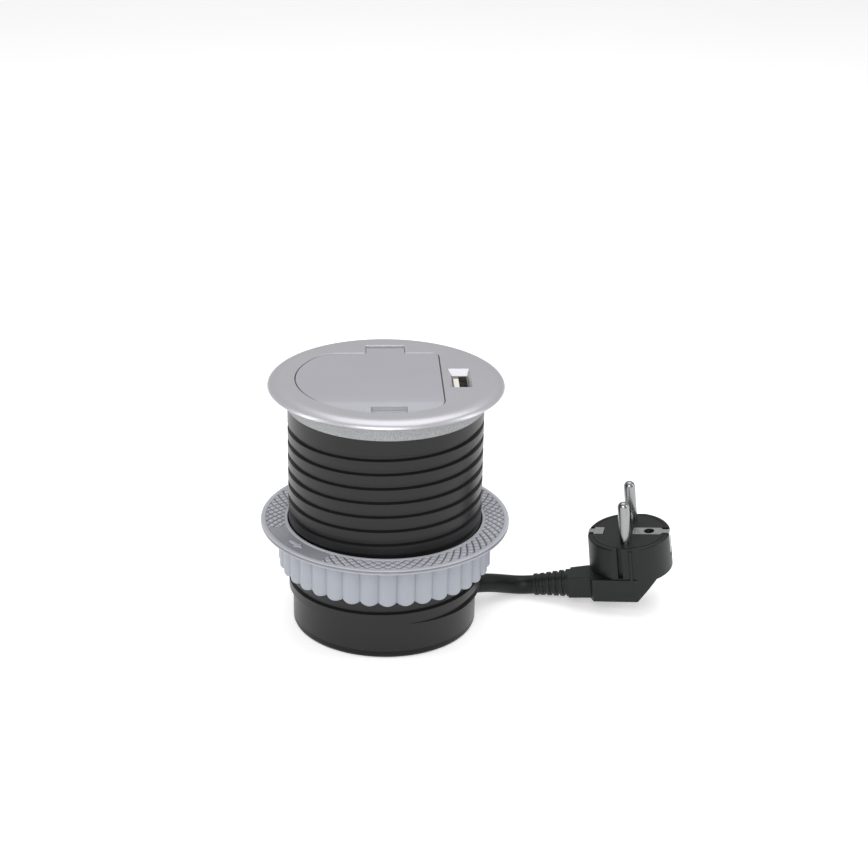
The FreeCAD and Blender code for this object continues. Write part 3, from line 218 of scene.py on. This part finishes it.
def lacquer(name, rgb, rough, metallic, collar=False):
    """Sprayed silver lacquer: fine flake and slight orange peel."""
    shader = Shader(name)
    low, high = shades(rgb, darker=0.93, lighter=1.06)
    flake = shader.voronoi(scale=5200.0)
    fine = shader.noise(scale=4200.0, detail=2.0, rough=0.7)
    cloud = shader.noise(scale=24.0, detail=3.0, rough=0.55)
    tone = shader.remap(shader.average(fine, cloud, share=0.75), source=(0.32, 0.68))
    colour = shader.mix_colour(tone, low, high)
    gloss = shader.remap(fine, source=NOISE_CORE, target=(rough - 0.05, rough + 0.07))
    if collar:
        colour, gloss = add_collar_grit(shader, colour, gloss)
    shader.set("Base Color", colour)
    shader.set("Roughness", gloss)
    shader.set("Metallic", metallic)
    shader.set("Specular IOR Level", 0.5)
    shader.bump(flake, strength=0.05, distance=0.00003)
    peel = shader.noise(scale=700.0, detail=2.0, rough=0.5)
    shader.bump(peel, strength=0.03, distance=0.00006)
    return shader.material


def metal(name, rgb, rough, streak=(1, 1, 0.06), scale=2600.0, bump=0.08, var=0.1):
    """Drawn metal: noise stretched along the axis whose streak scale is small."""
    shader = Shader(name)
    low, high = shades(rgb, darker=1 - var, lighter=1 + var)
    streaks = shader.noise(scale=scale, detail=3.0, rough=0.6,
                           position=shader.stretched(streak))
    cloud = shader.noise(scale=160.0, detail=3.0, rough=0.6)
    tone = shader.remap(shader.average(streaks, cloud, share=0.6), source=NOISE_CORE)
    shader.set("Base Color", shader.mix_colour(tone, low, high))
    shader.set("Roughness", shader.remap(streaks, source=NOISE_CORE,
                                         target=(rough - 0.07, rough + 0.09)))
    shader.set("Metallic", 1.0)
    shader.bump(streaks, strength=bump, distance=0.00002)
    return shader.material


def knurled(name, rgb_painted_shade, rgb_painted_light):
    """Grey moulding with painted light: paler on the raised knurl and low on the rim than in the
    grooves; the dark grooves are painted shade and the pale tops and rim are painted highlight.
    """
    shader = Shader(name)
    z = shader.xyz()[2]
    fine = shader.noise(scale=2600.0, detail=2.0, rough=0.6)
    cloud = shader.noise(scale=60.0, detail=3.0, rough=0.6)
    # painted shade and highlight by height: darker down in the knurl's grooves, paler on the
    # raised tops
    painted_light_and_mottle = shader.remap(z, source=(-0.0577, -0.0573))
    # painted highlight: paler on the lower band of the rim
    rim_painted_highlight = shader.remap(z, source=(-0.0590, -0.0578), target=(1.0, 0.0))
    painted_light_and_mottle = shader.math("MAXIMUM", painted_light_and_mottle, shader.math("MULTIPLY", rim_painted_highlight, 0.7))
    # random mottle, added on top of the painted light and shade
    mottle = shader.remap(shader.math("ADD", fine, cloud), source=(0.7, 1.3),
                          target=(-0.12, 0.12))
    painted_light_and_mottle = shader.remap(shader.math("ADD", painted_light_and_mottle, mottle), source=(0, 1))
    shader.set("Base Color", shader.mix_colour(painted_light_and_mottle, srgb(*rgb_painted_shade), srgb(*rgb_painted_light)))
    shader.set("Roughness", shader.remap(fine, source=NOISE_CORE, target=(0.34, 0.48)))
    shader.bump(fine, strength=0.08, distance=0.00003)
    return shader.material


SHELL = dict(grain=1900, bump=0.10, var=0.05)   # grain shared by the barrel and its base

# each material and the pieces that wear it
MATERIAL_PIECES = [
    (lacquer("silver_lacquer", (190, 189, 194), rough=0.32, metallic=0.6, collar=True), "bezel"),
    (lacquer("lid_lacquer", (184, 184, 191), rough=0.33, metallic=0.55), "lid"),
    (metal("zinc_steel", (176, 176, 178), rough=0.32),
     "hinge_pin carrier_screws cover_screws clamp_screws"),
    (metal("spring_wire", (150, 150, 154), rough=0.28), "lid_spring shutter_spring"),
    (plastic("black_moulding", (38, 38, 40), rough=0.45), "socket_insert"),
    (plastic("shutter_moulding", (70, 70, 74), rough=0.5), "shutter"),
    (plastic("carrier_moulding", (214, 210, 198), rough=0.5), "contact_carrier"),
    (metal("stamped_brass", (206, 172, 98), rough=0.3), "line_contact neutral_contact"),
    (metal("plated_strip", (186, 188, 186), rough=0.24, streak=(1, 0.08, 1)),
     "earth_strap usb_shell cord_clamp plug_earth_contacts"),
    (plastic("circuit_board", (30, 92, 52), rough=0.35, var=0.12, coat=0.3), "usb_board"),
    (plastic("white_moulding", (232, 228, 218), rough=0.45, var=0.03), "usb_tongue"),
    (metal("gold_contact", (212, 170, 84), rough=0.22), "usb_pins"),
    (plastic("coil_wrap", (206, 178, 62), rough=0.4, var=0.1), "transformer"),
    (plastic("capacitor_sleeve", (42, 50, 84), rough=0.25, coat=0.4), "capacitors"),
    (plastic("epoxy_block", (30, 30, 32), rough=0.5), "bridge_rectifier"),
    (plastic("barrel_moulding", (24, 24, 25), rough=0.34, spec=0.32, **SHELL), "body_tube"),
    (plastic("base_moulding", (15, 15, 15), rough=0.36, spec=0.22, **SHELL), "bottom_cover"),
    (plastic("grey_moulding", (146, 150, 158), rough=0.42, grain=2200, bump=0.08, var=0.04),
     "clamp_washer ring_nut"),
    (plastic("cord_jacket", (12, 15, 14), rough=0.42, grain=1500, bump=0.2, var=0.1, spec=0.25),
     "power_cable"),
    (plastic("gland_rubber", (28, 28, 28), rough=0.6, grain=1200, bump=0.3, var=0.1),
     "cable_gland"),
    (plastic("wire_brown", (96, 58, 34)), "wire_line"),
    (plastic("wire_blue", (48, 84, 160)), "wire_neutral"),
    (plastic("wire_earth", (120, 160, 50)), "wire_earth"),
    (plastic("wire_grey", (110, 110, 112)), "board_wires"),
    (plastic("plug_moulding", (17, 21, 20), rough=0.42, grain=1400, bump=0.16, var=0.08,
             spec=0.3), "plug_body"),
    (metal("nickel_pins", (150, 151, 152), rough=0.2, streak=(1, 1, 0.05), scale=3000.0,
           bump=0.1, var=0.12), "plug_pins"),
]
piece_material = {piece: material for material, pieces in MATERIAL_PIECES
                  for piece in pieces.split()}
knurl_material = knurled("knurled_moulding", rgb_painted_shade=(96, 97, 103), rgb_painted_light=(184, 185, 193))


# ------------------------------------------------------------------ turned pieces
def azimuths(count):
    return np.arange(count) * 2 * math.pi / count


def polar_mesh(name, angles, rings, material, body, node):
    """Closed turned piece: rings is a loop of (radius, height) in mm, each one a number
    or an array over the angles."""
    count = len(angles)
    points = []
    for radius, height in rings:
        radius = np.broadcast_to(radius, (count,))
        height = np.broadcast_to(height, (count,))
        points.append(np.stack([radius * np.cos(angles), radius * np.sin(angles), height], 1))
    points = np.concatenate(points) * MM
    faces = []
    for j in range(len(rings)):
        here = j * count
        after = ((j + 1) % len(rings)) * count
        for i in range(count):
            k = (i + 1) % count
            faces.append((here + i, after + i, after + k, here + k))
    mesh = bpy.data.meshes.new(name)
    mesh.from_pydata([tuple(map(float, p)) for p in points], [], faces)
    mesh.update()
    bm = bmesh.new()
    bm.from_mesh(mesh)
    bmesh.ops.recalc_face_normals(bm, faces=bm.faces)
    bm.to_mesh(mesh)
    bm.free()
    piece = bpy.data.objects.new(name, mesh)
    bpy.context.scene.collection.objects.link(piece)
    mesh.materials.append(material)
    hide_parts(node)
    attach(piece, body)
    return piece


# Clamp flange: crossed diagonal knurl on the upper face, with a plain sector that carries
# a raised arrow. Lengths in mm, angles in degrees.
FLANGE_SEGMENTS = 1440
KNURL_COUNT = 72            # grooves of each hand round the face
KNURL_START = 40.9          # radius where the two hands cross in phase
KNURL_LEAD = 3.6            # radial run over which a groove drifts by one pitch
GROOVE_HALF_WIDTH = 0.24    # as a share of the pitch
KNURL_TOP = -57.22
GROOVE_DEPTH = 0.5
KNURL_RADII = np.arange(41.0, 48.2, 0.24)
PLAIN_FACE = -57.5
PLAIN_FROM, PLAIN_TO, PLAIN_FADE = 192, 238, 0.6
ARROW_X, ARROW_Y = -35.9, -25.8
ARROW_ANGLE = math.radians(215.7)
ARROW_HALF_LENGTH = 4.0
HEAD_START = 0.8            # the head runs from here to the tip
HEAD_SLOPE = 0.62           # half width gained per mm back from the tip
SHAFT_HALF_WIDTH = 0.65

# (radius, height)
FLANGE_INNER_EDGE = [(39.6, -57.35), (39.75, -57.2), (40.7, -57.2), (40.85, -57.45)]
FLANGE_RIM_AND_HUB = [
    (48.35, -57.5), (48.55, -57.22), (48.8, -57.2), (49.9, -57.2), (50.18, -57.27),
    (50.34, -57.42), (50.4, -57.65), (50.4, -58.7), (50.3, -58.95), (50.1, -59.1),
    (41.3, -59.1), (41.3, -60.85), (41.15, -61.0), (39.6, -61.0)]


def groove(turns):
    """1 on each groove's line, falling to 0 at its edges."""
    return np.clip(1.0 - np.abs(turns - np.round(turns)) / GROOVE_HALF_WIDTH, 0, 1)


def on_arrow(radius, angles):
    """Whether each point lies on the arrow, which points anticlockwise seen from above."""
    x = radius * np.cos(angles) - ARROW_X
    y = radius * np.sin(angles) - ARROW_Y
    cosine, sine = math.cos(ARROW_ANGLE), math.sin(ARROW_ANGLE)
    across = x * cosine + y * sine
    along = -x * sine + y * cosine
    head = ((along > HEAD_START) & (along < ARROW_HALF_LENGTH)
            & (np.abs(across) < (ARROW_HALF_LENGTH - along) * HEAD_SLOPE))
    shaft = ((along > -ARROW_HALF_LENGTH) & (along <= HEAD_START)
             & (np.abs(across) < SHAFT_HALF_WIDTH))
    return head | shaft


def knurl_height(radius, angles):
    turns = angles / (2 * math.pi) * KNURL_COUNT
    drift = (radius - KNURL_START) / KNURL_LEAD
    cut = np.maximum(groove(turns + drift), groove(turns - drift))
    cut = cut * cut * (3 - 2 * cut)
    degrees = np.degrees(angles) % 360
    plain = (np.clip((degrees - PLAIN_FROM) / PLAIN_FADE, 0, 1)
             * np.clip((PLAIN_TO - degrees) / PLAIN_FADE, 0, 1))
    sector = np.where(on_arrow(radius, angles), KNURL_TOP, PLAIN_FACE)
    return (1 - plain) * (KNURL_TOP - GROOVE_DEPTH * cut) + plain * sector


def build_flange():
    angles = azimuths(FLANGE_SEGMENTS)
    face = [(float(r), knurl_height(float(r), angles)) for r in KNURL_RADII]
    return polar_mesh("clamp_flange_knurled", angles,
                      FLANGE_INNER_EDGE + face + FLANGE_RIM_AND_HUB,
                      knurl_material, "clamp_flange", "clamp_washer")


# Ring nut: rounded lobes with fine valley lines and a scalloped, rounded lower edge.
# Its upper end is recessed round the flange's hub. Lengths in mm.
NUT_LOBES = 36
NUT_LOBE_SEGMENTS = 24
VALLEY_RADIUS = 42.0
LOBE_HEIGHT = 1.35
NUT_BORE = 39.6
RECESS_RADIUS, RECESS_FLOOR = 41.4, -61.1
NUT_TOP, NUT_SHOULDER, NUT_BOTTOM = -59.15, -59.45, -77.0
SCALLOP_HEIGHT = 1.25
LOWER_EDGE_HEIGHT = 1.5     # rounded edge below the straight wall


def build_nut():
    angles = azimuths(NUT_LOBES * NUT_LOBE_SEGMENTS)
    lobe = np.abs(np.cos(NUT_LOBES / 2 * angles)) ** 0.8
    bottom = NUT_BOTTOM + SCALLOP_HEIGHT * (1 - lobe)

    def wall(depth=1.0, inset=0.0):
        return VALLEY_RADIUS + LOBE_HEIGHT * lobe * depth - inset

    rings = [(RECESS_RADIUS, RECESS_FLOOR), (RECESS_RADIUS, NUT_TOP),
             (wall(0.8, 0.12), NUT_TOP), (wall(), NUT_SHOULDER)]
    drop = bottom + LOWER_EDGE_HEIGHT - NUT_SHOULDER
    rings += [(wall(), NUT_SHOULDER + drop * t) for t in np.linspace(0.06, 1.0, 10)]
    # lobe depth, inset, height above the scalloped bottom
    for depth, inset, rise in ((1.0, 0.12, 0.9), (0.95, 0.38, 0.4), (0.85, 0.75, 0.1),
                               (0.6, 1.1, 0.0)):
        rings.append((wall(depth, inset), bottom + rise))
    rings += [(NUT_BORE + 0.15, bottom), (NUT_BORE, bottom + 0.15), (NUT_BORE, RECESS_FLOOR)]
    return polar_mesh("ring_nut_fluted", angles, rings, piece_material["ring_nut"],
                      "nut", "ring_nut")


flange = build_flange()
nut = build_nut()

for name, piece in nodes.items():
    piece.data.materials.clear()
    piece.data.materials.append(piece_material[name])


# ------------------------------------------------------------------ floor and world
WHITE = (1, 1, 1, 1)
FLOOR_GAP = 0.0002


def build_floor():
    bpy.ops.mesh.primitive_plane_add(size=6.0, location=(0, 1.2, cad_box[0][2] - FLOOR_GAP))
    floor = bpy.context.object
    floor.name = "studio_floor"
    shader = Shader("studio_floor_paint")
    cloud = shader.noise(scale=6.0, detail=2.0, rough=0.5)
    shader.set("Base Color", shader.mix_colour(cloud, srgb(243, 243, 243), srgb(247, 247, 247)))
    shader.set("Roughness", 0.8)
    shader.set("Emission Color", WHITE)
    shader.set("Emission Strength", 0.36)
    shader.set("Specular IOR Level", 0.1)
    floor.data.materials.append(shader.material)


def build_world(light_strength, seen_strength):
    """White world whose strength differs for lighting and for what the camera sees."""
    world = bpy.data.worlds.new("studio")
    bpy.context.scene.world = world
    world.use_nodes = True
    tree = world.node_tree
    lighting = tree.nodes["Background"]
    seen = tree.nodes.new("ShaderNodeBackground")
    for background, strength in ((lighting, light_strength), (seen, seen_strength)):
        background.inputs[0].default_value = WHITE
        background.inputs[1].default_value = strength
    path = tree.nodes.new("ShaderNodeLightPath")
    mix = tree.nodes.new("ShaderNodeMixShader")
    tree.links.new(path.outputs["Is Camera Ray"], mix.inputs[0])
    tree.links.new(lighting.outputs[0], mix.inputs[1])
    tree.links.new(seen.outputs[0], mix.inputs[2])
    tree.links.new(mix.outputs[0], tree.nodes["World Output"].inputs[0])


build_floor()
build_world(light_strength=0.5, seen_strength=1.0)


# ------------------------------------------------------------------ lights and camera
def area(name, place, target, size, power):
    """Rectangular light aimed at target; size is (width, height) in metres."""
    light = bpy.data.lights.new(name, "AREA")
    light.energy = power
    light.shape = "RECTANGLE"
    light.size, light.size_y = size
    lamp = bpy.data.objects.new(name, light)
    bpy.context.scene.collection.objects.link(lamp)
    lamp.location = place
    lamp.rotation_euler = (Vector(target) - Vector(place)).to_track_quat("-Z", "Y").to_euler()


# name, place, target, size, power in watts
for row in (
    ("key_front", (-0.15, -0.9, 0.65), (0, 0, -0.05), (0.7, 0.45), 4.6),
    ("top_soft", (0.1, 0.25, 0.9), (0, 0, 0), (0.9, 0.9), 4.2),
    ("rim_strip", (0.0, -0.95, 0.2), (0, 0, -0.02), (0.8, 0.08), 1.5),
    ("left_strip", (-0.8, -0.15, 0.25), (0, 0, -0.05), (0.25, 0.7), 1.8),
    ("right_strip", (0.9, -0.1, 0.3), (0.05, 0, -0.05), (0.3, 0.7), 1.8),
):
    area(*row)

CAMERA_TARGET = Vector((0, 0, -0.045))
CAMERA_DISTANCE = 0.83085
CAMERA_ELEVATION = math.radians(24.64)
CAMERA_AZIMUTH = math.radians(-1.8)     # from the front, negative towards -X
CAMERA_ROLL = math.radians(0.5)


def build_camera():
    across = math.cos(CAMERA_ELEVATION)
    place = CAMERA_TARGET + CAMERA_DISTANCE * Vector((
        across * math.sin(CAMERA_AZIMUTH), -across * math.cos(CAMERA_AZIMUTH),
        math.sin(CAMERA_ELEVATION)))
    data = bpy.data.cameras.new("camera")
    data.sensor_width = 36.0
    data.lens = 85.26774194
    data.shift_x = 0.056221198
    data.shift_y = 0.062062212
    data.clip_start = 0.01
    camera = bpy.data.objects.new("camera", data)
    bpy.context.scene.collection.objects.link(camera)
    aim = (CAMERA_TARGET - place).to_track_quat("-Z", "Y").to_matrix().to_4x4()
    camera.matrix_world = Matrix.Translation(place) @ aim @ Matrix.Rotation(CAMERA_ROLL, 4, "Z")
    bpy.context.scene.camera = camera


build_camera()
bpy.context.scene.view_settings.view_transform = "Standard"


# ------------------------------------------------------------------ smoothing
def smooth_by_angle(piece, degrees):
    """Shade smooth, but mark open edges and those sharper than the angle."""
    mesh = piece.data
    for polygon in mesh.polygons:
        polygon.use_smooth = True
    limit = math.cos(math.radians(degrees))
    bm = bmesh.new()
    bm.from_mesh(mesh)
    sharp = [len(edge.link_faces) != 2
             or edge.link_faces[0].normal.dot(edge.link_faces[1].normal) < limit
             for edge in bm.edges]
    bm.free()
    marks = (mesh.attributes.get("sharp_edge")
             or mesh.attributes.new("sharp_edge", "BOOLEAN", "EDGE"))
    marks.data.foreach_set("value", sharp)


for piece in nodes.values():
    if not piece.hide_render:
        smooth_by_angle(piece, degrees=32)
for piece in (flange, nut):
    smooth_by_angle(piece, degrees=40)
